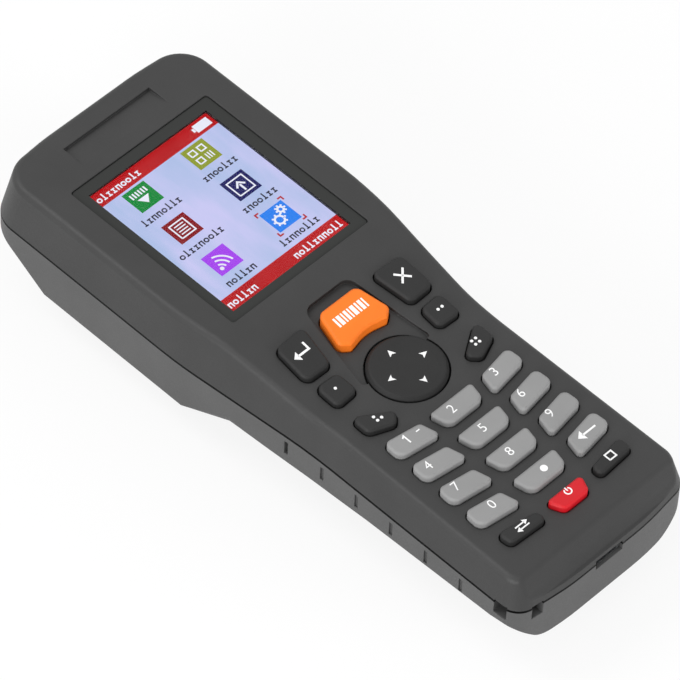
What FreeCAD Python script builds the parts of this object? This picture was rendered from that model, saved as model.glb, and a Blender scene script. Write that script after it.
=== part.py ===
"""Portable barcode data terminal: two shell halves, keys, screen, scan engine and battery bay."""
import FreeCAD, Part
import math
import os

doc = FreeCAD.newDocument("data_terminal")

# Driving dimensions in millimetres, heights measured up from the back
SIZES = {
    "overall_length": 158.0,
    "face_height": 34.0,
    "parting_height": 21.5,
    "deck_height": 29.3,
    "deck_rise": 0.5,
    "dip_bottom_y": 64.0,
    "dip_top_y": 89.0,
    "wall": 2.0,
    "fit_gap": 0.3,
    "head_half_width": 29.4,
    "grip_half_width": 26.2,
    "head_face_half": 27.4,
    "grip_face_half": 22.6,
    "waist_face_half": 21.9,
    "waist_y": 62.0,
    "shoulder_y": 98.0,
    "end_corner_radius": 5.0,
    "head_corner_radius": 8.0,
    "end_bow": 1.8,
    "face_edge_radius": 1.6,
    "scoop_reach": 4.3,
    "scoop_depth": 2.2,
    "scoop_radius": 6.0,
    "grip_back_height": 7.0,
    "grip_side_height": 14.5,
    "head_side_height": 8.5,
    "back_flat_half": 18.5,
    "grip_end_y": 84.0,
    "head_back_y": 97.0,
    "head_slope_y": 139.0,
    "lens_width": 41.0,
    "lens_length": 49.6,
    "lens_centre_y": 115.6,
    "lens_thickness": 1.4,
    "lens_sink": 0.35,
    "picture_width": 35.0,
    "picture_length": 43.8,
    "recess_half": 12.9,
    "recess_top_y": 150.4,
    "recess_length": 6.5,
    "recess_depth": 0.8,
    "key_rise": 1.5,
    "key_travel": 0.8,
    "key_flange": 0.7,
    "flange_thickness": 0.8,
    "plunger_radius": 1.3,
    "key_chamfer": 0.45,
    "numeric_first_y": 44.3,
    "numeric_pitch": 8.0,
    "numeric_side_x": 13.45,
    "numeric_spread": 0.27,
    "bottom_row_y": 12.9,
    "nav_y": 59.2,
    "nav_radius": 8.9,
    "nav_rise": 0.9,
    "nav_tilt_gap": 0.5,
    "scan_y": 75.4,
    "enter_x": 15.0,
    "enter_y": 75.1,
    "function_x": 15.65,
    "function_y": 64.7,
    "lower_function_x": 15.2,
    "lower_function_y": 53.6,
    "board_top": 22.6,
    "board_thickness": 1.6,
    "dome_height": 0.3,
    "web_thickness": 0.6,
    "usb_width": 7.8,
    "usb_height": 2.4,
    "cover_length": 62.0,
    "cover_half": 15.4,
    "cover_end_y": 15.0,
    "cover_thickness": 2.0,
    "battery_thickness": 6.0,
    "window_width": 24.0,
    "window_height": 9.0,
    "window_thickness": 1.5,
    "screw_radius": 1.2,
    "strap_window": 3.4,
    "groove_pitch": 10.1,
    "groove_first_y": 17.6,
    "groove_width": 1.0,
    "groove_depth": 0.5,
    "usb_room": 6.5,
    "front_ceiling": 2.6,
    "nav_gap": 0.4,
    "cavity_floor": 2.4,
    "bay_roof": 16.2,
    "cover_swing_gap": 0.35,
    "cover_tab": 2.2,
    "cover_tab_half": 7.0,
    "board_end_y": 128.0,
    "board_grip_half": 19.4,
    "board_start_y": 7.8,
    "panel_thickness": 2.4,
    "panel_half": 19.0,
    "panel_length": 51.0,
    "frame_thickness": 0.8,
    "gasket_thickness": 0.2,
    "window_sink": 0.4,
    "engine_width": 21.0,
    "engine_height": 8.0,
    "engine_depth": 11.0,
    "engine_back": 5.0,
    "screw_head_radius": 2.1,
    "screw_head_height": 1.4,
    "screw_length": 13.0,
    "screw_top": 26.5,
    "post_radius": 1.9,
    "low_post_x": 11.0,
    "low_post_y": 8.1,
    "high_post_x": 22.7,
    "high_post_y": 100.0,
}
GROOVES = 6

sheet = doc.addObject("Spreadsheet::Sheet", "sizes")
for row, (alias, value) in enumerate(SIZES.items(), start=1):
    sheet.set(f"A{row}", alias)
    sheet.set(f"B{row}", str(value))
    sheet.setAlias(f"B{row}", alias)
doc.recompute()


def size(alias):
    """A driving dimension as the sheet holds it."""
    return float(getattr(sheet, alias))


def bind(item, prop, expression):
    """Ties a property to the sheet: words that are aliases become references to its cells."""
    for alias in sorted(SIZES, key=len, reverse=True):
        expression = expression.replace(f"[{alias}]", f"sizes.{alias}")
    item.setExpression(prop, expression)


def rounded(corners):
    """Closed outline of straight runs with a tangent arc of radius r at each corner (x, y, r)."""
    runs = []
    count = len(corners)
    for i, (x, y, r) in enumerate(corners):
        here = FreeCAD.Vector(x, y, 0)
        before = FreeCAD.Vector(*corners[i - 1][:2], 0)
        after = FreeCAD.Vector(*corners[(i + 1) % count][:2], 0)
        back = (before - here).normalize()
        ahead = (after - here).normalize()
        half = math.acos(max(-1.0, min(1.0, back.dot(ahead)))) / 2
        if r <= 0 or half > math.radians(89.9):
            runs.append((here, None, here))
            continue
        reach = r / math.tan(half)
        middle = (back + ahead).normalize()
        inner = here + middle * (r / math.sin(half) - r)
        runs.append((here + back * reach, inner, here + ahead * reach))
    shapes = []
    for i, (start, inner, end) in enumerate(runs):
        if inner is not None:
            shapes.append(Part.Arc(start, inner, end))
        shapes.append(Part.LineSegment(end, runs[(i + 1) % count][0]))
    return shapes


def mirrored(half):
    """Whole outline from its right half, listed from bottom to top."""
    return half + [(-x, y, r) for x, y, r in reversed(half)]


def rectangle(x0, y0, x1, y1, r=0.0):
    """Rectangle between two corners, with rounded corners of radius r."""
    return [(x0, y0, r), (x1, y0, r), (x1, y1, r), (x0, y1, r)]


def piece(name, x="0", y="0", z="0"):
    """An empty body whose local y runs up from the bottom end of the terminal."""
    body = doc.addObject("PartDesign::Body", name)
    body.Label = name
    bind(body, "Placement.Base.x", x)
    bind(body, "Placement.Base.y", f"{y} - [overall_length] / 2")
    bind(body, "Placement.Base.z", z)
    return body


def drawing(body, outlines, height="0", plane="XY_Plane", turn=None):
    """A sketch of closed outlines and circles on an origin plane of its body, raised by height."""
    sketch = body.newObject("Sketcher::SketchObject", f"{body.Name}_sketch")
    role = [f for f in body.Origin.OriginFeatures if f.Role == plane][0]
    sketch.AttachmentSupport = [(role, "")]
    sketch.MapMode = "FlatFace"
    if turn is not None:
        sketch.AttachmentOffset = turn
    else:
        bind(sketch, "AttachmentOffset.Base.z", height)
    for outline in outlines:
        if isinstance(outline, tuple):
            x, y, r = outline
            sketch.addGeometry(Part.Circle(FreeCAD.Vector(x, y, 0), FreeCAD.Vector(0, 0, 1), r), False)
        else:
            sketch.addGeometry(rounded(outline), False)
    return sketch


def pad(body, outlines, length, height="0", plane="XY_Plane", both=False, down=False):
    """Adds material by extruding outlines."""
    feature = body.newObject("PartDesign::Pad", f"{body.Name}_pad")
    feature.Profile = drawing(body, outlines, height, plane)
    bind(feature, "Length", length)
    feature.Midplane = both
    feature.Reversed = down
    return feature


def cut(body, outlines, length, height="0", plane="XY_Plane", both=False, up=False, turn=None):
    """Removes material downwards from height, or upwards, or to both sides; length None cuts all."""
    feature = body.newObject("PartDesign::Pocket", f"{body.Name}_pocket")
    feature.Profile = drawing(body, outlines, height, plane, turn)
    if length is None:
        feature.Type = "ThroughAll"
    else:
        bind(feature, "Length", length)
    feature.Midplane = both
    feature.Reversed = up
    return feature


def loft(body, sections, plane, heights, ruled=True):
    """Adds the solid through outlines drawn at several heights."""
    feature = body.newObject("PartDesign::AdditiveLoft", f"{body.Name}_loft")
    sketches = [drawing(body, [s], h, plane) for s, h in zip(sections, heights)]
    feature.Profile = sketches[0]
    feature.Sections = sketches[1:]
    feature.Ruled = ruled
    return feature


def soften(body, kind, amount, chosen):
    """Fillets or chamfers the edges of the body's tip for which chosen(edge) is true."""
    doc.recompute()
    tip = body.Tip
    names = [f"Edge{i}" for i, edge in enumerate(tip.Shape.Edges, start=1) if chosen(edge)]
    feature = body.newObject(f"PartDesign::{kind}", f"{body.Name}_{kind.lower()}")
    feature.Base = (tip, names)
    bind(feature, "Radius" if kind == "Fillet" else "Size", amount)
    return feature


# Heights and outlines that the shells share
LENGTH = size("overall_length")
FACE = size("face_height")
PARTING = size("parting_height")
DECK = size("deck_height")
DIP_LOW = size("dip_bottom_y")
DIP_HIGH = size("dip_top_y")
DECK_TOP = DECK + size("deck_rise")
WALL = size("wall")
GAP = size("fit_gap")
BIG = LENGTH * 2
DIP_RADIUS = 40.0


def deck_at(y):
    """Height of the face at a distance from the bottom end: keypad deck, dip, then screen face."""
    if y <= DIP_LOW:
        return DECK + size("deck_rise") * max(0.0, y) / DIP_LOW
    if y >= DIP_HIGH:
        return FACE
    return DECK_TOP + (FACE - DECK_TOP) * (y - DIP_LOW) / (DIP_HIGH - DIP_LOW)


def plan(grip, waist, head, end, head_end):
    """Plan outline: bowed bottom end, slightly waisted grip, shoulders, wider head."""
    bow = size("end_bow")
    half = [
        (grip * 0.45, end, 60.0),
        (grip, end + bow, size("end_corner_radius")),
        (waist, size("waist_y"), 150.0),
        (head, size("shoulder_y"), 120.0),
        (head, head_end - bow * 0.6, size("head_corner_radius")),
        (head * 0.5, head_end, 60.0),
    ]
    return mirrored(half)


def parting_plan(grow=0.0):
    """Outline of the joint between the two shells, moved outwards by grow."""
    grip = size("grip_half_width") + grow
    return plan(grip, grip, size("head_half_width") + grow, -grow, LENGTH + grow)


def face_plan():
    """Outline of the front shell where its leaning walls would pass above the face."""
    lean = size("scoop_reach") * 0.6
    return plan(size("grip_face_half"), size("waist_face_half"), size("head_face_half"),
                lean, LENGTH - lean)


# Keys: name, x, y, outline about the key's own centre, and rise of its far edge
def side_key(sign, x, y):
    """Outer numeric key whose outer end sits nearer the head."""
    corners = [(-5.2, 3.8, 1.5), (4.1, 2.3, 1.2), (5.4, -2.8, 1.0), (-5.5, -1.3, 2.0)]
    return (sign * x, y, [(-sign * cx, cy, r) for cx, cy, r in corners])


def middle_key(y):
    """Middle numeric key with a straight far edge and a rounded near edge."""
    return (0.0, y, [(-6.3, 2.5, 0.8), (6.3, 2.5, 0.8), (5.2, -2.5, 2.4), (-5.2, -2.5, 2.4)])


def pair(name_left, name_right, x, y, corners):
    """Two mirrored keys, left one drawn as given."""
    return {
        name_left: (-x, y, corners),
        name_right: (x, y, [(-cx, cy, r) for cx, cy, r in corners]),
    }


KEYS = {}
KEYS.update(pair("enter_key", "escape_key", size("enter_x"), size("enter_y"),
                 [(-3.9, 4.8, 1.7), (4.7, 5.3, 1.4), (2.9, -5.2, 1.7), (-4.3, -5.0, 1.9)]))
KEYS.update(pair("f1_key", "f2_key", size("function_x"), size("function_y"),
                 [(-3.1, 3.3, 1.6), (3.1, 3.1, 1.6), (3.4, -3.0, 1.6), (-3.0, -3.3, 1.6)]))
KEYS.update(pair("f3_key", "f4_key", size("lower_function_x"), size("lower_function_y"),
                 [(-3.8, 4.3, 1.3), (4.8, -1.2, 1.2), (2.2, -3.9, 1.6), (-3.9, -1.4, 1.8)]))
SCAN_DROP = size("scan_y") - size("nav_y")
SCAN_ARC = size("nav_radius") + 3.3
SCAN_TIP = (5.4, -4.9)
tip_angle = math.atan2(SCAN_TIP[1] + SCAN_DROP, SCAN_TIP[0])
tip_angle += math.acos(SCAN_ARC / math.hypot(SCAN_TIP[0], SCAN_TIP[1] + SCAN_DROP))
KEYS["scan_key"] = (0.0, size("scan_y"), [
    (SCAN_TIP[0], SCAN_TIP[1], 0.7), (7.7, -3.3, 1.4), (5.7, 4.9, 2.0), (-5.7, 4.9, 2.0),
    (-7.7, -3.3, 1.4), (-SCAN_TIP[0], SCAN_TIP[1], 0.7),
    (0.0, SCAN_ARC / math.sin(tip_angle) - SCAN_DROP, SCAN_ARC)])
for row in range(4):
    y = size("numeric_first_y") - row * size("numeric_pitch")
    x = size("numeric_side_x") + row * size("numeric_spread")
    left, middle, right = [("key_1", "key_2", "key_3"), ("key_4", "key_5", "key_6"),
                           ("key_7", "key_8", "key_9"), ("key_0", "key_dot", "key_delete")][row]
    KEYS[left] = (-x, y, side_key(-1, 1, 0)[2])
    KEYS[middle] = middle_key(y)
    KEYS[right] = (x, y, side_key(1, 1, 0)[2])
KEYS.update(pair("switch_key", "shift_key", size("numeric_side_x"), size("bottom_row_y"),
                 [(-5.2, 2.6, 1.3), (5.0, 1.0, 1.2), (5.4, -1.9, 1.2), (-4.8, -1.3, 1.3)]))
KEYS["power_key"] = (0.0, size("bottom_row_y") - 0.8,
                     [(-5.4, 2.0, 0.9), (5.4, 2.0, 0.9), (3.6, -2.1, 1.6), (-3.6, -2.1, 1.6)])


TROUGH_TOP = 84.0
TROUGH_LOW = DECK_TOP - 0.5
TROUGH_HIGH = deck_at(TROUGH_TOP) - 1.3
USB_MIDDLE = PARTING - 0.4
POST_RADIUS = size("post_radius")
POSTS = [(sign * size(f"{level}_post_x"), size(f"{level}_post_y"))
         for level in ("low", "high") for sign in (-1, 1)]
SLOPE_TOP = PARTING - 2.4
SLOPE_ANGLE = math.degrees(math.atan2(SLOPE_TOP, LENGTH + 1.0 - size("head_slope_y")))
SLOPE_MIDDLE = (size("head_slope_y") + LENGTH + 1.0) / 2
WINDOW_TURN = FreeCAD.Rotation(FreeCAD.Vector(1, 0, 0), SLOPE_ANGLE - 180)
OUTWARD = WINDOW_TURN.multVec(FreeCAD.Vector(0, 0, 1))


def grown(corners, by):
    """The same outline moved outwards by a clearance, each run square to itself."""
    count = len(corners)
    area = sum(corners[i - 1][0] * c[1] - c[0] * corners[i - 1][1] for i, c in enumerate(corners))
    side = 1.0 if area > 0 else -1.0
    moved = []
    for i, (x, y, r) in enumerate(corners):
        ax, ay = x - corners[i - 1][0], y - corners[i - 1][1]
        bx, by_ = corners[(i + 1) % count][0] - x, corners[(i + 1) % count][1] - y
        la, lb = math.hypot(ax, ay), math.hypot(bx, by_)
        na = (side * ay / la, -side * ax / la)
        nb = (side * by_ / lb, -side * bx / lb)
        scale = by / (1 + na[0] * nb[0] + na[1] * nb[1])
        convex = (ax * by_ - ay * bx) * side > 0
        new_r = r + by if convex else max(r - by, 0.2)
        moved.append((x + (na[0] + nb[0]) * scale, y + (na[1] + nb[1]) * scale, new_r))
    return moved


def shifted(corners, x, y):
    """An outline moved to a place on the deck."""
    return [(cx + x, cy + y, r) for cx, cy, r in corners]


def front_case():
    """Front shell: leaning walls, screen face, dip, keypad deck, scooped bottom end, openings."""
    body = piece("front_case")
    loft(body, [parting_plan(), face_plan()], "XY_Plane",
         ["[parting_height]", "[face_height] + 2"])
    reach = size("scoop_reach")
    lip = PARTING + 1.3
    profile = [
        (-10.0, FACE + 10, 0.0), (-10.0, lip, 0.0), (size("scoop_depth") * 0.5, lip + 0.6, 0.0),
        (size("scoop_depth"), lip + 2.0, size("scoop_radius")), (reach, DECK, 1.4),
        (DIP_LOW, DECK_TOP, DIP_RADIUS), (DIP_HIGH, FACE, DIP_RADIUS),
        (LENGTH + 10, FACE, 0.0), (LENGTH + 10, FACE + 10, 0.0)]
    cut(body, [profile], f"{BIG}", "0", "YZ_Plane", both=True)
    doc.recompute()

    def rim(edge):
        """Edges between the face or deck and the leaning walls."""
        points = [edge.valueAt(edge.FirstParameter + t * (edge.LastParameter - edge.FirstParameter))
                  for t in (0.0, 0.5, 1.0)]
        level = all(p.z > PARTING + 5 for p in points)
        inside = all(abs(p.x) < size("waist_face_half") - 2 and reach + 1 < p.y < LENGTH - 8
                     for p in points)
        across = abs(points[0].y - points[2].y) < 0.01 and abs(points[0].x + points[2].x) < 0.01
        return level and not inside and not across

    soften(body, "Fillet", "[face_edge_radius]", rim)
    hollow_front(body)
    open_front(body)
    return body


def hollow_front(body):
    """Space for the board and the screen stack, left as a wall behind the face and the deck."""
    grip = size("grip_face_half") - WALL * 0.7
    head = size("head_face_half") - WALL - 0.4
    start = size("usb_room")
    cut(body, [rectangle(-grip, start, grip, DIP_HIGH - 1, 3.0)],
        "[deck_height] - [wall] - [parting_height]", "[parting_height]", up=True)
    cut(body, [rectangle(-head, DIP_HIGH - 3, head, LENGTH - 8, 4.0)],
        "[face_height] - [front_ceiling] - [parting_height]", "[parting_height]", up=True)
    for x, y in POSTS:
        base = "[parting_height]" if y < DIP_LOW else "[board_top] + [fit_gap] * 0.2"
        roof = deck_at(y) - 1.5
        pad(body, [(x, y, POST_RADIUS)], f"{roof} - ({base})", base)
        cut(body, [(x, y, size("screw_radius") + 0.05)], "6", "[parting_height] - 0.5", up=True)


def open_front(body):
    """Screen window, name recess, scan trough, and a hole for each key."""
    half_x, half_y = size("lens_width") / 2, size("lens_length") / 2
    mid = size("lens_centre_y")
    cut(body, [rectangle(-half_x, mid - half_y, half_x, mid + half_y, 0.8)],
        "[lens_thickness] + [lens_sink] + 0.2", "[face_height]")
    view_x, view_y = size("picture_width") / 2 + 0.6, size("picture_length") / 2 + 0.6
    cut(body, [rectangle(-view_x, mid - view_y, view_x, mid + view_y, 0.5)],
        None, "[face_height]")
    top = size("recess_top_y")
    low = top - size("recess_length")
    wedge = [(low, FACE, 0.0), (low, FACE + 1, 0.0), (top, FACE + 1, 0.0),
             (top, FACE - size("recess_depth"), 0.0)]
    cut(body, [wedge], "[recess_half] * 2", "0", "YZ_Plane", both=True)
    tilt = math.degrees(math.atan2(TROUGH_HIGH - TROUGH_LOW, TROUGH_TOP - size("function_y")))
    turn = FreeCAD.Placement(FreeCAD.Vector(0, size("function_y"), TROUGH_LOW),
                             FreeCAD.Rotation(FreeCAD.Vector(1, 0, 0), tilt))
    reach = TROUGH_TOP - size("function_y")
    funnel = [(-10.2, -2.6, 1.0), (10.2, -2.6, 1.0), (6.6, reach, 2.6), (-6.6, reach, 2.6)]
    cut(body, [funnel], "8", up=True, turn=turn)
    holes = [(0, size("nav_y"), size("nav_radius") + size("nav_gap"))]
    holes += [shifted(grown(outline, GAP), x, y) for x, y, outline in KEYS.values()]
    for hole in holes:
        cut(body, [hole], None, "[face_height] + 1")
    mouth = size("usb_width") / 2 + 0.15
    cut(body, [rectangle(-mouth, PARTING - 1, mouth, USB_MIDDLE + size("usb_height") / 2 + 0.15)],
        "[usb_room] + 2", "1", "XZ_Plane")
    strap_loop(body, "[parting_height] - 1", "1.6")





def rear_section(half, side_height, back_height):
    """Section across the rear shell: nearly upright sides, rounded turn, flat back."""
    flat = size("back_flat_half") + (half - size("grip_half_width")) * 0.5
    right = [(flat, back_height, 7.0), (half - 0.6, side_height, 3.0), (half, PARTING + 1, 0.0)]
    return mirrored(right)


def rear_case():
    """Rear shell: deep head with a sloped window end, step to the grip, battery opening, grooves."""
    body = piece("rear_case")
    head, grip = size("head_half_width"), size("grip_half_width")
    side, side_head = size("grip_side_height"), size("head_side_height")
    back = size("grip_back_height")
    stations = [
        (-1.0, grip, side + 3.4, back + 3.4), (9.0, grip, side + 1.8, back),
        (45.0, grip, side, back), (size("grip_end_y"), grip + 1.6, side - 1.0, back),
        (size("head_back_y"), head, side_head, 0.0), (size("head_slope_y"), head, side_head, 0.0),
        (LENGTH + 1.0, head, PARTING - 0.4, SLOPE_TOP)]
    sections = [rear_section(half + 0.8, edge, low) for y, half, edge, low in stations]
    loft(body, sections, "XZ_Plane", [f"0 - ({y})" for y, half, edge, low in stations])
    border = rectangle(-60.0, -40.0, 60.0, LENGTH + 40.0)
    cut(body, [border, parting_plan()], None, "[parting_height] + 2")
    cut(body, [border], "3", "[parting_height]", up=True)
    hollow_rear(body)
    open_rear(body)
    return body


def hollow_rear(body):
    """Room for the board and the scan engine, with a floor above the battery bay."""
    grip = size("grip_half_width") - WALL - 3.4
    head = size("head_half_width") - WALL - 3.4
    split = size("grip_end_y") + 4
    cut(body, [rectangle(-grip, size("usb_room") - 1.0, grip, split + 1, 3.0)],
        "[parting_height] - [bay_roof] - [wall] * 0.7", "[parting_height]")
    cut(body, [rectangle(-head, split, head, LENGTH - 13, 4.0)], "7", "[parting_height]")
    deep = rectangle(-head + 3, size("head_back_y") + 3, head - 3, size("head_slope_y") - 1, 3.0)
    cut(body, [deep], "[parting_height] - [cavity_floor]", "[parting_height]")
    for x, y in POSTS:
        low = "[bay_roof]" if y < DIP_LOW else "[cavity_floor] + 4"
        top = "[parting_height]" if y < DIP_LOW else "[board_top]"
        pad(body, [(x, y, POST_RADIUS)], f"{top} - ({low})", low)


def open_rear(body):
    """Battery bay and sill, scan window seat, strap loop, socket mouth, screw holes, grip grooves."""
    half, end, length = size("cover_half"), size("cover_end_y"), size("cover_length")
    gap = size("cover_swing_gap")
    far = end + length
    cut(body, [rectangle(-half + 1.6, end + 2.0, half - 1.6, far - 2.0, 1.5)],
        "[bay_roof] + 1", "0 - 1", up=True)
    cut(body, [rectangle(-half - gap, end - gap, half + gap, far + gap, 2.0 + gap)],
        "[grip_back_height] + [cover_thickness] + [fit_gap] + 1", "0 - 1", up=True)
    tab = size("cover_tab_half") + gap
    cut(body, [rectangle(-tab, far - size("cover_tab"), tab, far + size("cover_tab") + 2 * gap)],
        "[cover_thickness] + 2", "[grip_back_height] + 0.8", up=True)
    cut(body, [rectangle(-5.0, end - 3.0, 5.0, end + 1.0, 1.4)], "2.2", "[grip_back_height] - 1", up=True)
    seat = FreeCAD.Vector(0, SLOPE_MIDDLE, SLOPE_TOP / 2)
    wide, tall = size("window_width") / 2, size("window_height") / 2
    sink = size("window_sink") + size("window_thickness")
    room = 0.15
    cut(body, [rectangle(-wide - room, -tall - room, wide + room, tall + room, 1.0)],
        f"{sink + 3}", turn=FreeCAD.Placement(seat + OUTWARD * 3, WINDOW_TURN))
    cut(body, [rectangle(-wide + 1.5, -tall + 1.2, wide - 1.5, tall - 1.2, 0.6)],
        "16", turn=FreeCAD.Placement(seat, WINDOW_TURN))
    engine_x, engine_y = size("engine_width") / 2 + room, size("engine_height") / 2 + room
    cut(body, [rectangle(-engine_x, -engine_y, engine_x, engine_y)], "22",
        turn=FreeCAD.Placement(seat - OUTWARD * (size("engine_back") - room), WINDOW_TURN))
    mouth = size("usb_width") / 2 + 0.15
    cut(body, [rectangle(-mouth, USB_MIDDLE - size("usb_height") / 2 - 0.15, mouth, PARTING + 1)],
        "[usb_room] + 3", "1", "XZ_Plane")
    strap_loop(body, "[parting_height] - [strap_window]", "[strap_window] + 1")
    for x, y in POSTS:
        cut(body, [(x, y, size("screw_radius") + 0.2)], None, "[parting_height] + 2")
        deep = screw_seat()
        cut(body, [(x, y, size("screw_head_radius") + 0.3)], f"{deep} + 1", "0 - 1", up=True)
    for i in range(GROOVES):
        y = size("groove_first_y") + i * size("groove_pitch")
        wide = size("groove_width") / 2
        outer = size("grip_half_width")
        for sign in (-1, 1):
            inner = outer - size("groove_depth")
            slot = rectangle(min(sign * inner, sign * (outer + 2)), y - wide,
                             max(sign * inner, sign * (outer + 2)), y + wide)
            cut(body, [slot], "4", "[parting_height] - 1.6")


def strap_loop(body, height, depth):
    """Two strap windows that meet behind the left corner of the bottom end."""
    wide = size("strap_window")
    outer = size("grip_half_width")
    side = rectangle(-outer - 3, 4.8, -outer + 4.4, 4.8 + wide)
    end = rectangle(-outer + 4.4 - 0.2, -3.0, -outer + 4.4 + wide - 0.6, 4.8 + wide)
    cut(body, [side], depth, height, up=True)
    cut(body, [end], depth, height, up=True)


def screw_seat():
    """Height of the shoulder that a case screw's head pulls against."""
    return size("screw_top") - size("screw_length")


def screen_parts():
    """Lens in its seat, gasket under it, display panel behind the window, metal tray on legs."""
    mid = size("lens_centre_y")
    half_x, half_y = size("lens_width") / 2, size("lens_length") / 2
    lens = piece("screen_lens")
    pad(lens, [rectangle(-half_x + 0.15, mid - half_y + 0.15, half_x - 0.15, mid + half_y - 0.15, 0.8)],
        "[lens_thickness]", "[face_height] - [lens_sink] - [lens_thickness]")
    view_x, view_y = size("picture_width") / 2 + 0.6, size("picture_length") / 2 + 0.6
    gasket = piece("lens_gasket")
    pad(gasket, [rectangle(-half_x + 0.5, mid - half_y + 0.5, half_x - 0.5, mid + half_y - 0.5, 0.8),
                 rectangle(-view_x, mid - view_y, view_x, mid + view_y, 0.5)],
        "[gasket_thickness]", "[face_height] - [lens_sink] - [lens_thickness] - [gasket_thickness]")
    panel = piece("lcd_panel")
    wide, tall = size("panel_half"), size("panel_length") / 2
    under = "[face_height] - [front_ceiling] - 0.15 - [panel_thickness]"
    pad(panel, [rectangle(-wide, mid - tall, wide, mid + tall, 0.6)], "[panel_thickness]", under)
    frame = piece("lcd_frame")
    wide, tall = wide + 0.7, tall - 0.4
    pad(frame, [rectangle(-wide, mid - tall, wide, mid + tall, 1.0)], "[frame_thickness]",
        f"{under} - [frame_thickness]")
    leg_far = size("board_end_y") - 2.5
    legs = [(sign * (wide - 3.0), y, 1.5) for sign in (-1, 1) for y in (mid - tall + 2.0, leg_far)]
    pad(frame, legs, f"{under} - [frame_thickness] - [board_top]", "[board_top]")
    return [lens, gasket, panel, frame]


def board_parts():
    """Main board, switch domes under the keys, spacer web round them, chips, buzzer and socket."""
    board = piece("main_board")
    half, start = size("board_grip_half"), size("board_start_y")
    low = size("low_post_y") + POST_RADIUS + 0.4
    tab = size("low_post_x") - POST_RADIUS - 0.4
    outline = [(tab, start, 0.0), (tab, low, 0.0), (half, low, 1.0), (half, size("board_end_y"), 1.0)]
    pad(board, [mirrored(outline)], "[board_thickness]", "[board_top] - [board_thickness]")
    cut(board, [(0.0, size("nav_y") + 26.0, 1.6)], None, "[board_top] + 1")
    spots = [(x, y) for x, y, outline in KEYS.values()]
    nav = size("nav_radius") - 3.4
    spots += [(nav * math.cos(a), size("nav_y") + nav * math.sin(a))
              for a in (0.0, math.pi / 2, math.pi, 1.5 * math.pi)]
    domes = piece("dome_switches")
    pad(domes, [(x, y, 1.6) for x, y in spots], "[dome_height]", "[board_top]")
    web = piece("keymat_web")
    holes = [(x, y, 1.95) for x, y in spots] + [(0.0, size("nav_y"), 2.5)]
    border = [(tab - 0.2, start + 0.8, 0.0), (tab - 0.2, low, 0.0), (half - 0.5, low, 1.0),
              (half - 0.5, DIP_HIGH - 4.5, 2.0)]
    pad(web, [mirrored(border)] + holes,
        "[web_thickness]", "[board_top]")
    chips = piece("board_chips")
    for x, y, wide, tall in ((0.0, 112.0, 12.0, 12.0), (-12.0, 100.0, 7.0, 9.0), (11.0, 122.0, 8.0, 6.0)):
        pad(chips, [rectangle(x - wide / 2, y - tall / 2, x + wide / 2, y + tall / 2)],
            "1.2", "[board_top]")
    buzzer = piece("buzzer")
    pad(buzzer, [(12.0, 106.0, 4.5)], "3", "[board_top] - [board_thickness]", down=True)
    cut(buzzer, [(12.0, 106.0, 0.8)], "1.5", "[board_top] - [board_thickness] - 3", up=True)
    socket = piece("usb_port")
    wide, tall = size("usb_width") / 2, size("usb_height") / 2
    shape = [(-wide + 0.5, USB_MIDDLE - tall, 0.2), (wide - 0.5, USB_MIDDLE - tall, 0.2),
             (wide, USB_MIDDLE - tall + 0.8, 0.3), (wide, USB_MIDDLE + tall, 0.3),
             (-wide, USB_MIDDLE + tall, 0.3), (-wide, USB_MIDDLE - tall + 0.8, 0.3)]
    pad(socket, [shape], "[board_start_y] - 0.8 - [fit_gap] / 2", "0 - 0.8", "XZ_Plane", down=True)
    inner = [(x * 0.9, USB_MIDDLE + (z - USB_MIDDLE) * 0.74, r) for x, z, r in shape]
    tongue = rectangle(-wide * 0.62, USB_MIDDLE + 0.12, wide * 0.62, USB_MIDDLE + 0.55)
    cut(socket, [inner, tongue], "5", "0 - 0.7", "XZ_Plane")
    return [board, domes, web, chips, buzzer, socket]


def key_part(name):
    """One key: cap with sloped top and chamfered rim, flange under the deck, plunger over its dome."""
    x, y, outline = KEYS[name]
    body = piece(name, f"{x}", f"{y}")
    ceiling = "[deck_height] - [wall]"
    flange_top = f"{ceiling} - [fit_gap]"
    rise = size("key_rise")
    highest = deck_at(y + 8) + rise + 1
    pad(body, [outline], f"{highest} - ({flange_top})", flange_top)
    slope = (deck_at(y + 4) - deck_at(y - 4)) / 8
    top = deck_at(y) + rise
    wedge = [(-9.0, top - 9 * slope, 0.0), (9.0, top + 9 * slope, 0.0),
             (9.0, highest + 4, 0.0), (-9.0, highest + 4, 0.0)]
    cut(body, [wedge], "60", "0", "YZ_Plane", both=True)
    pad(body, [grown(outline, size("key_flange"))], "[flange_thickness]", flange_top, down=True)

    def rim(edge):
        """Edges that bound the cap's top face."""
        ends = [edge.valueAt(edge.FirstParameter), edge.valueAt(edge.LastParameter)]
        return all(abs(p.z - top - slope * p.y) < 0.01 for p in ends)

    soften(body, "Chamfer", "[key_chamfer]", rim)
    rest = "[board_top] + [dome_height] + [key_travel] + [fit_gap] / 3"
    pad(body, [(0.0, 0.0, size("plunger_radius"))],
        f"({flange_top}) - [flange_thickness] / 2 - ({rest})", rest)
    return body


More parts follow.
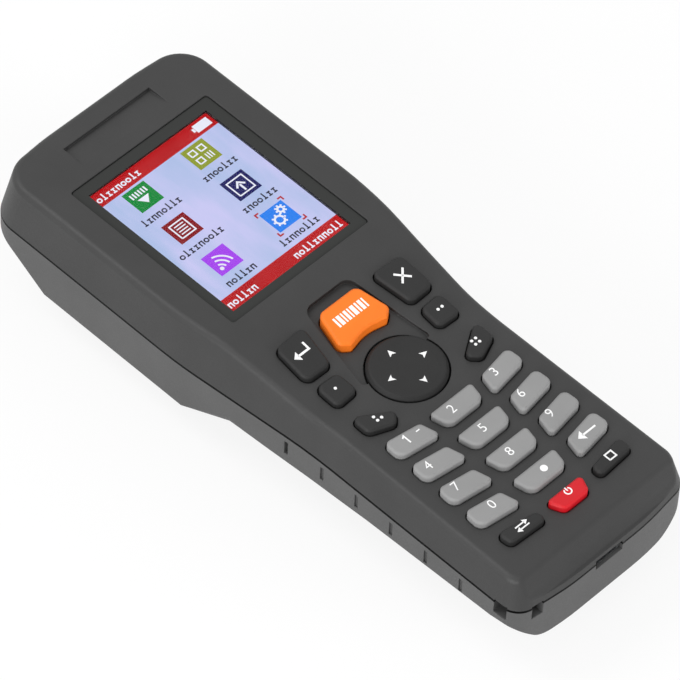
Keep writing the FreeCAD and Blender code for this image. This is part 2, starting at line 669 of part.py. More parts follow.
def nav_parts():
    """Four-way pad: shallow dish on a disc with a flange, rocking on a centre fulcrum."""
    body = piece("nav_pad", "0", "[nav_y]")
    radius = size("nav_radius")
    top = deck_at(size("nav_y")) + size("nav_rise")
    flange = size("deck_height") - WALL - size("nav_tilt_gap") - 0.3
    under = flange - size("flange_thickness")
    pivot = size("board_top") + 2.2
    profile = [(0.0, pivot + 0.3, 0.0), (2.2, pivot + 0.3, 0.0), (2.2, under, 0.0), (radius + 0.9, under, 0.0),
               (radius + 0.9, flange, 0.0), (radius, flange, 0.0), (radius, top - 0.9, 0.0),
               (radius - 0.7, top - 0.1, 0.5), (radius - 2.4, top - 0.1, 2.0), (0.0, top - 0.5, 0.0)]
    feature = body.newObject("PartDesign::Revolution", "nav_turned")
    feature.Profile = drawing(body, [profile], "0", "XZ_Plane")
    feature.ReferenceAxis = (feature.Profile[0], ["V_Axis"])
    feature.Angle = 360.0
    nubs = radius - 3.4
    foot = size("board_top") + size("dome_height") + size("key_travel") + 0.2
    pad(body, [(nubs * math.cos(a), nubs * math.sin(a), 1.0)
               for a in (0.0, math.pi / 2, math.pi, 1.5 * math.pi)], f"{under + 0.2 - foot}", f"{foot}")
    fulcrum = piece("nav_fulcrum", "0", "[nav_y]")
    pad(fulcrum, [(0.0, 0.0, 1.8)], f"{pivot - 0.3 - size('board_top')}", "[board_top] + 0.3")
    return [body, fulcrum]


def engine_parts():
    """Scan window in the sloped end and the scan engine in its bay behind it."""
    seat = FreeCAD.Vector(0, SLOPE_MIDDLE - LENGTH / 2, SLOPE_TOP / 2)
    window = piece("scan_window")
    wide, tall = size("window_width") / 2, size("window_height") / 2
    pad(window, [rectangle(-wide, -tall, wide, tall, 1.0)], "[window_thickness]")
    engine = piece("scan_engine")
    wide, tall = size("engine_width") / 2, size("engine_height") / 2
    pad(engine, [rectangle(-wide, -tall, wide, tall, 0.5)], "[engine_depth]")
    cut(engine, [(-4.0, 0.0, 2.4)], "2", "[engine_depth]")
    cut(engine, [(5.0, 0.0, 2.8)], "1.4", "[engine_depth]")
    for body, depth in ((window, size("window_sink") + size("window_thickness")),
                        (engine, size("engine_back") + size("engine_depth"))):
        for axis in "xyz":
            body.setExpression(f"Placement.Base.{axis}", None)
        body.Placement = FreeCAD.Placement(seat - OUTWARD * depth, WINDOW_TURN)
    return [window, engine]


def battery_parts():
    """Battery pack, its contacts on the bay roof, and the swing-down cover with a hooked tab."""
    half, end, length = size("cover_half"), size("cover_end_y"), size("cover_length")
    far = end + length
    pack = piece("battery_pack")
    pad(pack, [rectangle(-half + 2.2, end + 3.0, half - 2.2, far - 3.0, 2.0)], "[battery_thickness]",
        "[grip_back_height] + [cover_thickness] + [fit_gap]")
    contacts = piece("battery_contacts")
    pad(contacts, [rectangle(x - 1.2, far - 9.0, x + 1.2, far - 5.0, 0.4) for x in (-5.0, 0.0, 5.0)],
        "0.6", "[bay_roof] - 0.6")
    cover = piece("battery_cover")
    pad(cover, [rectangle(-half, end, half, far, 2.0)], "[cover_thickness]", "[grip_back_height]")
    tab = size("cover_tab_half")
    pad(cover, [rectangle(-tab, far - 1.8, tab, far + size("cover_tab"), 0.4)], "1.4",
        "[grip_back_height] + [cover_thickness] - 0.8")
    for i in range(4):
        y = end + 3.0 + i * 1.8
        cut(cover, [rectangle(-6.0 + i * 1.2, y, 6.0 - i * 1.2, y + 0.8)], "0.5",
            "[grip_back_height]", up=True)
    return [pack, contacts, cover]


def screws():
    """Four case screws: pan head with a cross recess, shank up into the front shell's posts."""
    body = piece("case_screws")
    for x, y in POSTS:
        seat = screw_seat()
        pad(body, [(x, y, size("screw_head_radius"))], "[screw_head_height]",
            f"{seat}", down=True)
        pad(body, [(x, y, size("screw_radius"))], f"[screw_length] - 0.5", f"{seat} - 0.2")
        for wide, tall in ((1.2, 0.25), (0.25, 1.2)):
            cut(body, [rectangle(x - wide, y - tall, x + wide, y + tall)], "0.7",
                f"{seat} - [screw_head_height]", up=True)
    return [body]


parts = [front_case(), rear_case()]
parts += screen_parts()
parts += board_parts()
parts += [key_part(name) for name in KEYS]
parts += nav_parts()
parts += engine_parts()
parts += battery_parts()
parts += screws()
doc.recompute()

faults = [item.Name for item in doc.Objects if {"Invalid", "Error"} & set(item.State)]
faults += [part.Label for part in parts if part.Shape.isNull() or not part.Shape.isValid()]
if faults:
    raise SystemExit(f"failed: {faults}")
os.makedirs("parts", exist_ok=True)
for part in parts:
    part.Shape.exportStep(f"parts/{part.Label}.step")
    print(part.Label, len(part.Shape.Solids), round(part.Shape.Volume, 1))
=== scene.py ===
"""Looks of a hand-held data terminal: moulded shells, lit screen, rubber keypad and printed signs."""
import math

import bpy
import numpy as np
from mathutils import Euler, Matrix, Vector


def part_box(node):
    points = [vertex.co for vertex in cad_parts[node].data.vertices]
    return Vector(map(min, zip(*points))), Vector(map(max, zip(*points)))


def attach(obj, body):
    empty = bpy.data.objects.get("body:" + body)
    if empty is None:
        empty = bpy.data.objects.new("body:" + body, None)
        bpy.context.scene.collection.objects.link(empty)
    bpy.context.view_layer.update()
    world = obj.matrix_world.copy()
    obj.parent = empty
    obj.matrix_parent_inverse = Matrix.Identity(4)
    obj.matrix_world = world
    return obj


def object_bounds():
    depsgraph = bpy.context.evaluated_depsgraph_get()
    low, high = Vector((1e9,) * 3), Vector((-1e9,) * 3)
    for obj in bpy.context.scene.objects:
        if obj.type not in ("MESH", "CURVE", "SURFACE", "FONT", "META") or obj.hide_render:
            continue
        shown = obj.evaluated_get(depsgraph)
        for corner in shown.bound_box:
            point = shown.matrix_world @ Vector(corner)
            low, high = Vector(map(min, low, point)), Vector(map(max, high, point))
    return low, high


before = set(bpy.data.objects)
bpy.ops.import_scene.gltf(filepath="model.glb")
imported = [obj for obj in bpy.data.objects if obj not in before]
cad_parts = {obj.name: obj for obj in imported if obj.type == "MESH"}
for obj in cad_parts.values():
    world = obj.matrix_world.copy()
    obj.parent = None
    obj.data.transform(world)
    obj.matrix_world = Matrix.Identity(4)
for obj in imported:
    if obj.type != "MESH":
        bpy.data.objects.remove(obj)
cad_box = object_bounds()


# Camera
# A long lens well above the left side of the bottom end, aimed at the middle of the face. Its place in
# millimetres and its turn in degrees are those of a camera fitted to the screen and the keys.
MM = 0.001
SENSOR_WIDE = 36.0
FOCAL_LENGTH = 330.36
CAMERA_PLACE = (-625.54, -559.10, 1052.64)
CAMERA_TURN = (39.08, -2.281, -45.42)
camera_data = bpy.data.cameras.new("camera")
camera_data.sensor_width = SENSOR_WIDE
camera_data.lens = FOCAL_LENGTH
camera_data.clip_start = 0.05
camera_data.clip_end = 20.0
camera = bpy.data.objects.new("camera", camera_data)
camera.location = Vector(CAMERA_PLACE) * MM
camera.rotation_euler = Euler([math.radians(a) for a in CAMERA_TURN])
bpy.context.scene.collection.objects.link(camera)
bpy.context.scene.camera = camera
bpy.context.scene.view_settings.view_transform = "Standard"


# Floor and light
# A pale card under the terminal, a white room round it and three large soft boxes. Card and room look
# white to the eye and in mirrors, and light the terminal more softly than they look.
def rgb(colour):
    """Linear red, green, blue and alpha of an sRGB colour written as a hex string such as #4c4c4c."""
    parts = np.array([int(colour[i:i + 2], 16) for i in (1, 3, 5)]) / 255
    linear = np.where(parts > 0.04045, ((parts + 0.055) / 1.055) ** 2.4, parts / 12.92)
    return (*linear.tolist(), 1.0)


def add(tree, kind, settings=(), **links):
    """Adds one shader node. Settings are (property, value) pairs; links give each input a value or a socket.

    An underscore in a link's name stands for a space, and in_0, in_1 name an input by its number."""
    made = tree.nodes.new("ShaderNode" + kind)
    for name, value in settings:
        setattr(made, name, value)
    for name, value in links.items():
        socket = made.inputs[int(name[3:])] if name.startswith("in_") else made.inputs[name.replace("_", " ")]
        if isinstance(value, bpy.types.NodeSocket):
            tree.links.new(value, socket)
        else:
            socket.default_value = value
    return made


def new_material(name):
    """An empty node material and its tree."""
    material = bpy.data.materials.new(name)
    material.use_nodes = True
    material.node_tree.nodes.clear()
    return material, material.node_tree


def seen_directly(tree):
    """1 for rays from the camera, in mirrors and through glass, 0 for rays that carry light."""
    path = add(tree, "LightPath")
    mirrored = add(tree, "Math", [("operation", "MAXIMUM")], in_0=path.outputs["Is Camera Ray"],
                   in_1=path.outputs["Is Glossy Ray"])
    both = add(tree, "Math", [("operation", "MAXIMUM")], in_0=mirrored.outputs[0],
               in_1=path.outputs["Is Transmission Ray"])
    return both.outputs[0]


ROOM_LIGHT = 0.6
world = bpy.data.worlds.new("white_room")
bpy.context.scene.world = world
world.use_nodes = True
tree = world.node_tree
tree.nodes.clear()
strength = add(tree, "MapRange", From_Min=0.0, From_Max=1.0, To_Min=ROOM_LIGHT, To_Max=1.0,
               Value=seen_directly(tree))
room = add(tree, "Background", Color=rgb("#ffffff"), Strength=strength.outputs[0])
add(tree, "OutputWorld", Surface=room.outputs[0])

# Matt card: it scatters light evenly, so the eye finds no shine on it and only a soft shadow
CARD_GLOW = 0.84
card, tree = new_material("matt_white_card")
paper = add(tree, "BsdfDiffuse", Color=rgb("#f4f4f4"), Roughness=1.0)
glow = add(tree, "Emission", Color=rgb("#ffffff"), Strength=1.0)
share = add(tree, "Math", [("operation", "MULTIPLY")], in_0=seen_directly(tree), in_1=CARD_GLOW)
mixed = add(tree, "MixShader", in_0=share.outputs[0], in_1=paper.outputs[0], in_2=glow.outputs[0])
add(tree, "OutputMaterial", Surface=mixed.outputs[0])

FLOOR_HALF = 4.0
FLOOR_GAP = 0.05 * MM
floor_mesh = bpy.data.meshes.new("floor")
corners = np.array([(-1, -1, 0), (1, -1, 0), (1, 1, 0), (-1, 1, 0)]) * FLOOR_HALF
floor_mesh.from_pydata((corners + (0, 0, cad_box[0].z - FLOOR_GAP)).tolist(), [], [(0, 1, 2, 3)])
floor_mesh.materials.append(card)
floor = bpy.data.objects.new("floor", floor_mesh)
bpy.context.scene.collection.objects.link(floor)

# Soft boxes: name, place in metres, side in metres, watts
SOFT_BOXES = (("soft_box_head", (-0.5, 0.9, 1.6), 0.9, 12.0),
              ("soft_box_side", (-1.7, -0.4, 0.55), 1.0, 19.0),
              ("soft_box_end", (0.7, -1.7, 0.6), 0.9, 15.0))
for name, place, side, watts in SOFT_BOXES:
    lamp = bpy.data.lights.new(name, "AREA")
    lamp.size = side
    lamp.energy = watts
    stand = bpy.data.objects.new(name, lamp)
    stand.location = place
    # The end box stands low, so it is kept out of mirrors and clear pieces
    stand.visible_glossy = stand.visible_transmission = name != "soft_box_end"
    stand.rotation_euler = (-Vector(place)).to_track_quat("-Z", "Y").to_euler()
    bpy.context.scene.collection.objects.link(stand)


# Front and rear shells with the battery cover
# Injection moulded ABS in charcoal grey, from a spark-eroded tool. Four screws from the back hold the
# shells together, and the cover hooks into the rear shell.
CLOUD_SIZE = 14 * MM
CLOUD_RAMP = (0.3, 0.75)
EDGE_SAMPLES = 6
WEAR = 0.06


def moulded(name, colour, lighter, rough, shine, grain_mm, relief_mm, edge_mm, shaded_joint=None):
    """Plastic or rubber from a textured tool: even colour, fine grain in relief, softly rounded edges.

    A shaded joint is a lowest and a highest height, between which the surface is painted near black as
    painted shade for the narrow gap where two parts meet."""
    material, tree = new_material(name)
    place = add(tree, "TexCoord").outputs["Object"]
    cloud = add(tree, "TexNoise", Vector=place, Scale=1 / CLOUD_SIZE, Detail=3.0, Roughness=0.6)
    tint = add(tree, "ValToRGB", Fac=cloud.outputs["Fac"])
    for stop, position, shade in zip(tint.color_ramp.elements, CLOUD_RAMP, (colour, lighter)):
        stop.position = position
        stop.color = rgb(shade)
    grain = add(tree, "TexNoise", Vector=place, Scale=1 / (grain_mm * MM), Detail=4.0, Roughness=0.65)
    edge = add(tree, "Bevel", [("samples", EDGE_SAMPLES)], Radius=edge_mm * MM)
    bump = add(tree, "Bump", Height=grain.outputs["Fac"], Distance=relief_mm * MM, Strength=1.0,
               Normal=edge.outputs[0])
    wear = add(tree, "MapRange", Value=grain.outputs["Fac"], From_Min=0.3, From_Max=0.7,
               To_Min=rough - WEAR, To_Max=rough + WEAR)
    surface, joint_shade = tint.outputs[0], 0.0
    if shaded_joint:
        height = add(tree, "SeparateXYZ", Vector=place).outputs["Z"]
        joint_shade = add(tree, "Math", [("operation", "COMPARE")], in_0=height, in_1=sum(shaded_joint) / 2,
                  in_2=(shaded_joint[1] - shaded_joint[0]) / 2).outputs[0]
        surface = add(tree, "Mix", [("data_type", "RGBA")], in_0=joint_shade, in_6=surface,
                      in_7=rgb("#050505")).outputs[2]
    # Painted shade of the gap between the shells: near black metal, which has no gloss of its own
    body = add(tree, "BsdfPrincipled", Base_Color=surface, Roughness=wear.outputs[0], Metallic=joint_shade,
               Normal=bump.outputs[0], Specular_IOR_Level=shine, IOR=1.5)
    add(tree, "OutputMaterial", Surface=body.outputs[0])
    return material


def dress(material, *nodes):
    """Gives CAD nodes one material."""
    for name in nodes:
        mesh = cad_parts[name].data
        mesh.materials.clear()
        mesh.materials.append(material)


# The joint lies where the two shells meet, and the shade in it is painted as a near black band. The real gap
# of about 0.2 mm would be too fine to show, so it is drawn three times as wide
PARTING = 21.5 * MM
SHADED_JOINT_HALF = 0.3 * MM
SHADED_JOINT = (PARTING - SHADED_JOINT_HALF, PARTING + SHADED_JOINT_HALF)
# Spark-eroded ABS: a dull, even charcoal without streaks, whose grain softens every highlight. The
# grain of about 0.1 mm is too fine to show and is drawn four times as coarse
TOOL_TEXTURE = {"shine": 0.42, "grain_mm": 0.42, "relief_mm": 0.03, "edge_mm": 0.3}
dress(moulded("abs_charcoal_front", "#2e2e2e", "#333333", rough=0.5, shaded_joint=SHADED_JOINT, **TOOL_TEXTURE),
      "front_case")
# The rear shell and the cover are the same charcoal ABS as the front but get a lighter grey: painted light
# for the light that their downward sloping walls catch from the floor
dress(moulded("abs_charcoal_rear_painted_light", "#4b4b4b", "#515151", rough=0.55, shaded_joint=SHADED_JOINT, **TOOL_TEXTURE),
      "rear_case")
dress(moulded("abs_charcoal_cover_painted_light", "#4b4b4b", "#515151", rough=0.55, **TOOL_TEXTURE), "battery_cover")


# Screen lens
# Clear PMMA window with a dark border printed round the picture. It is pressed into a seat in the
# face, over a foam ring.
CLEAR_HALF_X = 17.65 * MM
CLEAR_HALF_Y = 22.0 * MM
CLEAR_SHIFT = 0.25 * MM
HAZE_SIZE = 3 * MM
PRINT_ROUGH = (0.16, 0.24)
CLEAR_ROUGH = 0.02
# PMMA itself has 1.49. The low value stands for a coat against glare, as the window hardly mirrors
COATED_IOR = 1.14
lens_low, lens_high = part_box("screen_lens")
lens_middle_y = (lens_low.y + lens_high.y) / 2
lens_middle_z = (lens_low.z + lens_high.z) / 2
# Polished PMMA: sharp and clear over the picture, a deep satin grey where it is printed
material, tree = new_material("pmma_printed_lens")
place = add(tree, "Mapping", Vector=add(tree, "TexCoord").outputs["Object"],
            Location=(CLEAR_SHIFT, CLEAR_SHIFT - lens_middle_y, 0.0))
axes = add(tree, "SeparateXYZ", Vector=place.outputs[0])
inside = []
for axis, half in (("X", CLEAR_HALF_X), ("Y", CLEAR_HALF_Y)):
    far = add(tree, "Math", [("operation", "ABSOLUTE")], in_0=axes.outputs[axis])
    inside.append(add(tree, "Math", [("operation", "LESS_THAN")], in_0=far.outputs[0], in_1=half).outputs[0])
window = add(tree, "Math", [("operation", "MULTIPLY")], in_0=inside[0], in_1=inside[1])
# The lower half is clear throughout, so that the print counts once
under = add(tree, "Math", [("operation", "LESS_THAN")], in_0=axes.outputs["Z"], in_1=lens_middle_z)
clear = add(tree, "Math", [("operation", "MAXIMUM")], in_0=window.outputs[0],
            in_1=under.outputs[0]).outputs[0]
ink = add(tree, "Mix", [("data_type", "RGBA")], in_0=clear, in_6=rgb("#3a3b3a"), in_7=rgb("#ffffff"))
haze = add(tree, "TexNoise", Vector=place.outputs[0], Scale=1 / HAZE_SIZE, Detail=2.0)
gloss = add(tree, "MapRange", Value=haze.outputs["Fac"], To_Min=PRINT_ROUGH[0], To_Max=PRINT_ROUGH[1])
smooth = add(tree, "Mix", in_0=clear, in_2=gloss.outputs[0], in_3=CLEAR_ROUGH)
body = add(tree, "BsdfPrincipled", Base_Color=ink.outputs[2], Roughness=smooth.outputs[0], IOR=COATED_IOR,
           Transmission_Weight=clear, Specular_IOR_Level=0.5)
add(tree, "OutputMaterial", Surface=body.outputs[0])
dress(material, "screen_lens")


# Display panel and its picture
# A lit colour panel of thin glass in a steel tray behind the lens. The picture has a red bar at the top
# and the bottom, and six square signs with a short row of marks under each.
PICTURE_X = 0.5 * MM
PICTURE_Y = 37.3 * MM
PICTURE_WIDE = 35.2 * MM
PICTURE_TALL = 43.9 * MM
LAYER = 0.02 * MM
STREAK_SIZE = 6.0 * MM
STREAK_STRETCH = 4.0
STREAK_RAMP = (0.35, 0.65)
panel_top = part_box("lcd_panel")[1].z
# Black glass: smooth and so dark that the eye sees only the lit picture on it
dress(moulded("lcd_glass_black", "#0c0c0d", "#111112", rough=0.3, shine=0.1, grain_mm=0.5, relief_mm=0.0,
              edge_mm=0.1), "lcd_panel")


def arc(x, y, radius, start, stop, points=24):
    """Points on a circle: its middle plus the radius times cosine and sine of evenly spaced degrees."""
    angle = np.radians(np.linspace(start, stop, points))
    return np.column_stack((x + radius * np.cos(angle), y + radius * np.sin(angle)))


def bar(x, y, wide, tall):
    """Corners of an upright rectangle: its middle plus and minus half of each side."""
    return np.array([(-1, -1), (1, -1), (1, 1), (-1, 1)]) * (wide / 2, tall / 2) + (x, y)


def band(points, width):
    """Outline of a line of even width: each point moves half the width along its mitre, to both sides."""
    points = np.asarray(points, float)
    step = np.diff(points, axis=0)
    step /= np.linalg.norm(step, axis=1)[:, None]
    before, after = np.vstack((step[:1], step)), np.vstack((step, step[-1:]))
    mitre = before + after
    mitre /= np.linalg.norm(mitre, axis=1)[:, None]
    side = np.column_stack((-mitre[:, 1], mitre[:, 0]))
    reach = width / 2 / np.einsum("ij,ij->i", mitre, after)
    return np.vstack((points + side * reach[:, None], (points - side * reach[:, None])[::-1]))


def hollow(x, y, wide, tall, width):
    """Border of a rectangle: a line of even width through its four corners and back to the first."""
    return band(bar(x, y, wide, tall)[[0, 1, 2, 3, 0]], width)


def slab(outlines, height, thick):
    """Closed flat plates: each outline is lifted to height(x, y), and a copy of it lies thick below."""
    points, faces, start = [], [], 0
    for outline in outlines:
        turn = np.sum(outline[:, 0] * np.roll(outline[:, 1], -1) - outline[:, 1] * np.roll(outline[:, 0], -1))
        outline = outline if turn > 0 else outline[::-1]
        count = len(outline)
        top = height(outline[:, 0], outline[:, 1])
        points += [np.column_stack((outline, top)), np.column_stack((outline, top - thick))]
        ring = np.arange(count)
        after = np.roll(ring, -1)
        walls = start + np.column_stack((ring, ring + count, after + count, after))
        faces += [(start + ring).tolist(), (start + count + ring[::-1]).tolist(), *walls.tolist()]
        start += 2 * count
    return np.vstack(points), faces


def new_piece(name, points, faces, material, body):
    """Makes a mesh object from points in metres, lets it ride on a body and gives it its finish."""
    mesh = bpy.data.meshes.new(name)
    mesh.from_pydata(points.tolist(), [], faces)
    mesh.materials.append(material)
    made = bpy.data.objects.new(name, mesh)
    bpy.context.scene.collection.objects.link(made)
    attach(made, body)


def lit(name, colour, other):
    """A patch of the lit panel under its polariser: an even glow to the eye, with faint upright streaks."""
    material, tree = new_material(name)
    place = add(tree, "Mapping", Vector=add(tree, "TexCoord").outputs["Object"],
                Scale=(1.0, 1 / STREAK_STRETCH, 1.0))
    streaks = add(tree, "TexNoise", Vector=place.outputs[0], Scale=1 / STREAK_SIZE, Detail=4.0)
    tint = add(tree, "ValToRGB", Fac=streaks.outputs["Fac"])
    for stop, position, shade in zip(tint.color_ramp.elements, STREAK_RAMP, (colour, other)):
        stop.position = position
        stop.color = rgb(shade)
    body = add(tree, "BsdfPrincipled", Base_Color=rgb("#101010"), Roughness=0.4, Specular_IOR_Level=0.05,
               Emission_Color=tint.outputs[0], Emission_Strength=1.0)
    add(tree, "OutputMaterial", Surface=body.outputs[0])
    return material


def show(name, outlines, material, layer):
    """Lays outlines in millimetres from the picture's middle on the panel, some layers up."""
    outlines = [np.asarray(o, float) * MM + (PICTURE_X, PICTURE_Y) for o in outlines]
    level = panel_top + LAYER * (layer + 1)
    points, faces = slab(outlines, lambda x, y: np.full_like(x, level), LAYER)
    new_piece(name, points, faces, material, "case")


# From here to the end of the section sizes are in millimetres. The ground and the bars run on by a
# bleed under the printed border, so that no gap shows at its edge
WIDE, TALL = PICTURE_WIDE / MM, PICTURE_TALL / MM
BAR_TALL = 4.0
BLEED = 0.35
ground = bar(0, 0, WIDE + 2 * BLEED, TALL + 2 * BLEED)
show("picture_ground", [ground], lit("lcd_pale_blue", "#aebfe6", "#c8c8f2"), 0)
red_bars = [bar(0, side * (TALL - BAR_TALL + BLEED) / 2, WIDE + 2 * BLEED, BAR_TALL + BLEED)
            for side in (-1, 1)]
show("picture_bars", red_bars, lit("lcd_red", "#b21319", "#bd1b20"), 1)

SIGN_PITCH = 1.42
STROKE = 0.34
STEM_TALL = 2.0
FOOT_WIDE = 0.95
RING_RADIUS = 0.5
RING_HEIGHT = 0.7
# A ring stops short of its start, in degrees, so that its outline doesn't run over itself
RING_END = 352
ARCH_HALF = 0.4
ARCH_TALL = 1.25
CAP_HEIGHT = 1.2
SHORT_STEM_TALL = 1.1


def signs(x, y, count):
    """A row of small marks on a base line: stems, rings, arches and steps by turns, which spell no word."""
    marks = []
    for i in range(count):
        middle = x + (i + 0.5) * SIGN_PITCH
        kind = (i * 3 + i // 3 + count) % 4
        foot = bar(middle, y + STROKE / 2, FOOT_WIDE, STROKE)
        if kind == 0:
            marks += [bar(middle, y + STEM_TALL / 2, STROKE, STEM_TALL), foot]
        elif kind == 1:
            marks.append(band(arc(middle, y + RING_HEIGHT, RING_RADIUS, 0, RING_END), STROKE))
        elif kind == 2:
            left, right, crown = middle - ARCH_HALF, middle + ARCH_HALF, y + ARCH_TALL
            marks.append(band([(left, y), (left, crown), (right, crown), (right, y)], STROKE))
        else:
            marks += [foot, bar(middle, y + CAP_HEIGHT, FOOT_WIDE, STROKE),
                      bar(middle, y + RING_HEIGHT, STROKE, SHORT_STEM_TALL)]
    return marks


# Square signs: name, colour, column, row and number of marks in the row below
SQUARES = (("tile_green", "#12873a", 0, 0, 8), ("tile_olive", "#8e9a2e", 1, 0, 7),
           ("tile_red", "#86141c", 0, 1, 9), ("tile_navy", "#1b1a5e", 1, 1, 7),
           ("tile_purple", "#a443ec", 0, 2, 6), ("tile_blue", "#2880ee", 1, 2, 8))
SQUARE = 6.5
COLUMNS = (-8.9, 8.7)
ROWS = (14.1, 2.0, -10.1)
LABEL_DROP = 6.6
black_marks = []
for name, colour, column, row, count in SQUARES:
    x, y = COLUMNS[column], ROWS[row]
    show(name, [bar(x, y, SQUARE, SQUARE)], lit("lcd_" + name, colour, colour), 1)
    black_marks += signs(x - count * SIGN_PITCH / 2, y - LABEL_DROP, count)

FINE = 0.3
THIN = 0.35
WAVE = 0.45
BOLD = 0.5
# Green: a run of bars over a triangle that points down
x, y = COLUMNS[0], ROWS[0]
white_marks = [bar(x - 2.0 + i * 0.8, y + 1.4, 0.4, 1.5) for i in range(6)]
white_marks.append(np.array([(x - 1.6, y), (x, y - 2.0), (x + 1.6, y)]))
# Olive: three hollow squares and three bars
x, y = COLUMNS[1], ROWS[0]
for dx, dy in ((-1.3, 1.3), (1.3, 1.3), (-1.3, -1.3)):
    white_marks.append(hollow(x + dx, y + dy, 1.5, 1.5, THIN))
white_marks += [bar(x + 0.6 + i * 0.7, y - 1.3, FINE, 1.8) for i in range(3)]
# Red: a sheet with four lines
x, y = COLUMNS[0], ROWS[1]
white_marks.append(hollow(x, y, 4.0, 4.2, THIN))
white_marks += [bar(x, y + 1.2 - i * 0.8, 2.6, FINE) for i in range(4)]
# Navy: an arrow that points up in a hollow square
x, y = COLUMNS[1], ROWS[1]
white_marks.append(hollow(x, y, 4.4, 4.4, THIN))
white_marks.append(band([(x - 1.2, y - 0.2), (x, y + 1.1), (x + 1.2, y - 0.2)], BOLD))
white_marks.append(bar(x, y - 0.7, BOLD, 2.0))
# Purple: three waves from a point
x, y = COLUMNS[0], ROWS[2]
white_marks += [band(arc(x - 1.9, y - 1.9, radius, 8, 82), WAVE) for radius in (1.4, 2.6, 3.8)]
white_marks.append(arc(x - 1.7, y - 1.7, 0.5, 0, 345, 20))
# Blue: a large and a small toothed wheel, with a bracket at each corner of the square
x, y = COLUMNS[1], ROWS[2]
for dx, dy, radius in ((-0.8, -0.6, 1.1), (1.4, 1.4, 0.7)):
    white_marks.append(band(arc(x + dx, y + dy, radius, 0, RING_END, 32), BOLD))
    for angle in range(0, 360, 45):
        tooth = [arc(x + dx, y + dy, radius + reach, angle, angle, 1)[0] for reach in (0.25, 0.65)]
        white_marks.append(band(tooth, WAVE))
BRACKET_NEAR, BRACKET_FAR, BRACKET_STROKE = 2.9, 3.9, 0.4
bracket = np.array([(BRACKET_NEAR, BRACKET_FAR), (BRACKET_FAR, BRACKET_FAR), (BRACKET_FAR, BRACKET_NEAR)])
brackets = [band(bracket * (sx, sy) + (x, y), BRACKET_STROKE) for sx in (-1, 1) for sy in (-1, 1)]
show("picture_brackets", brackets, lit("lcd_bracket_red", "#b32a33", "#b32a33"), 1)

# Battery sign at the right of the upper bar, then rows of marks on both bars
x, y = WIDE / 2 - 2.9, TALL / 2 - BAR_TALL / 2
white_marks += [bar(x, y, 4.2, 2.3), bar(x - 2.5, y, 0.6, 1.1)]
UPPER_LINE, LOWER_LINE = TALL / 2 - 3.0, 0.9 - TALL / 2
for x, y, count in ((0.5 - WIDE / 2, UPPER_LINE, 9), (0.5 - WIDE / 2, LOWER_LINE, 6),
                    (WIDE / 2 - 14.8, LOWER_LINE, 10)):
    white_marks += signs(x, y, count)
show("picture_white_marks", white_marks, lit("lcd_white", "#e6e8f5", "#eceefb"), 2)
show("picture_black_marks", black_marks, lit("lcd_black", "#2a2a3a", "#2f2f40"), 1)


# Inside the case
# Tray, socket and key domes pressed from stainless sheet, a foam ring under the lens, a green board
# with black chips, the reader with its red window, and a cell in shrink film on gold plated springs.
DRAWN_STRETCH = 12.5
DRAWN_RELIEF = 0.005 * MM
DRAWN_WEAR = 0.08


def plated(name, colour, rough, brushed_mm):
    """Bare or plated metal, which catches light in fine drawn lines along Y.

    Real lines are finer than 0.1 mm and are drawn a few times as coarse, so that they show."""
    material, tree = new_material(name)
    place = add(tree, "Mapping", Vector=add(tree, "TexCoord").outputs["Object"],
                Scale=(1.0, 1 / DRAWN_STRETCH, 1.0))
    lines = add(tree, "TexNoise", Vector=place.outputs[0], Scale=1 / (brushed_mm * MM), Detail=3.0)
    wear = add(tree, "MapRange", Value=lines.outputs["Fac"], To_Min=rough - DRAWN_WEAR,
               To_Max=rough + DRAWN_WEAR)
    bump = add(tree, "Bump", Height=lines.outputs["Fac"], Distance=DRAWN_RELIEF)
    body = add(tree, "BsdfPrincipled", Base_Color=rgb(colour), Metallic=1.0, Roughness=wear.outputs[0],
               Normal=bump.outputs[0])
    add(tree, "OutputMaterial", Surface=body.outputs[0])
    return material


# The texture's rows stand a quarter of this apart, 0.6 mm, since real tracks of 0.2 mm are too fine to show
TRACK_SCALE = 2.4 * MM


def board_green(name):
    """Solder mask over copper: a satin green through which the tracks show as a paler net."""
    material, tree = new_material(name)
    place = add(tree, "TexCoord").outputs["Object"]
    tracks = add(tree, "TexBrick", Vector=place, Scale=1 / TRACK_SCALE, Mortar_Size=0.04,
                 Color1=rgb("#0f5a2c"), Color2=rgb("#126333"), Mortar=rgb("#2a8a4c"))
    body = add(tree, "BsdfPrincipled", Base_Color=tracks.outputs["Color"], Roughness=0.35,
               Specular_IOR_Level=0.5)
    add(tree, "OutputMaterial", Surface=body.outputs[0])
    return material


# Metals: bright grey sheet, warm gold springs and duller screws, each with soft drawn highlights
dress(plated("stainless_sheet", "#b9bbbd", rough=0.32, brushed_mm=0.3), "lcd_frame", "usb_port",
      "dome_switches")
dress(plated("gold_plated_spring", "#d9a441", rough=0.28, brushed_mm=0.3), "battery_contacts")
dress(plated("zinc_plated_screw", "#8d8f92", rough=0.38, brushed_mm=0.2), "case_screws")
dress(board_green("fr4_solder_mask"), "main_board")
# Epoxy of the chips: flat black with a faint sheen
dress(moulded("epoxy_chip_black", "#1a1a1b", "#222223", rough=0.5, shine=0.4, grain_mm=0.3, relief_mm=0.01,
              edge_mm=0.1), "board_chips", "buzzer")
# Foam: open cells that swallow light, the dullest black of all
dress(moulded("foam_black", "#161616", "#1d1d1d", rough=0.9, shine=0.2, grain_mm=0.5, relief_mm=0.05,
              edge_mm=0.1), "lens_gasket")
# Silicone of the web and the fulcrum: a flat black, less glossy than the caps
dress(moulded("silicone_black_web", "#242424", "#2a2a2a", rough=0.7, shine=0.3, grain_mm=0.3,
              relief_mm=0.01, edge_mm=0.1), "keymat_web", "nav_fulcrum")
# Shrink film: glossy blue with slight waves where it has drawn tight
dress(moulded("shrink_film_cell", "#26456f", "#2b4c7a", rough=0.3, shine=0.5, grain_mm=1.5, relief_mm=0.02,
              edge_mm=0.3), "battery_pack")
